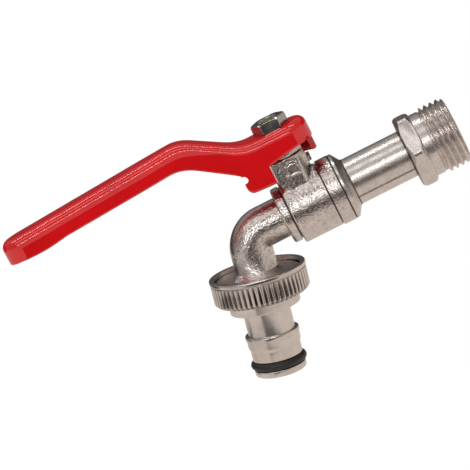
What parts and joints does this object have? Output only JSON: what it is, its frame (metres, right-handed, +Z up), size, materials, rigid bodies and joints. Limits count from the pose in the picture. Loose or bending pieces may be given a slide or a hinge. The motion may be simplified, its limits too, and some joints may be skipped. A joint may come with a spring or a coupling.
{
  "type": "washing machine lever ball tap",
  "caption": "Nickel-plated lever ball tap with a bent spout, a male pipe inlet and a screwed-on quick-coupler nose for a washing machine hose; a red sheet lever turns the ball a quarter turn.",
  "frame": {"origin": "on the pipe axis, at the middle of the inlet thread", "axes": "+X along the pipe axis, out of the inlet; +Z up along the stem"},
  "size_m": [0.1349, 0.0294, 0.0775],
  "materials": {
    "plated_cast": "nickel-plated, blasted casting",
    "plated_turned": "nickel-plated, turned",
    "bright_chrome": "polished chrome plate",
    "stem_brass": "turned brass",
    "zinc_steel": "bright zinc plate",
    "red_coating": "glossy red dip coating",
    "black_rubber": "smooth moulded rubber",
    "white_seal": "machined white plastic"
  },
  "bodies": {
    "valve": {"valve_body": "plated_cast", "inlet_end": "plated_cast", "body_seal": "white_seal", "seat_inlet": "white_seal", "seat_outlet": "white_seal"},
    "handle": {"lever": "red_coating", "lever_nut": "zinc_steel", "stem": "stem_brass", "thrust_washer": "white_seal", "stem_oring_lower": "black_rubber", "stem_oring_upper": "black_rubber", "ball": "bright_chrome"},
    "gasket": {"hose_gasket": "black_rubber"},
    "connector": {"hose_connector": "plated_turned", "nose_oring": "black_rubber"}
  },
  "joints": [
    {"name": "lever_turn", "type": "hinge", "parent": "valve", "child": "handle", "pos_m": [-0.04393, 0, 0], "axis": [0, 0, 1], "range_deg": [-90, 0]},
    {"name": "connector_slide", "type": "slide", "parent": "valve", "child": "gasket", "axis": [-0.225, 0, -0.9744], "range_m": [0, 0.00363]},
    {"name": "connector_turn", "type": "hinge", "parent": "gasket", "child": "connector", "pos_m": [-0.06423, 0, 0], "axis": [-0.225, 0, -0.9744], "range_deg": [0, 720]}
  ],
  "couplings": [
    {"joint": "connector_slide", "follows": "connector_turn", "m_per_rad": 0.00028871}
  ]
}
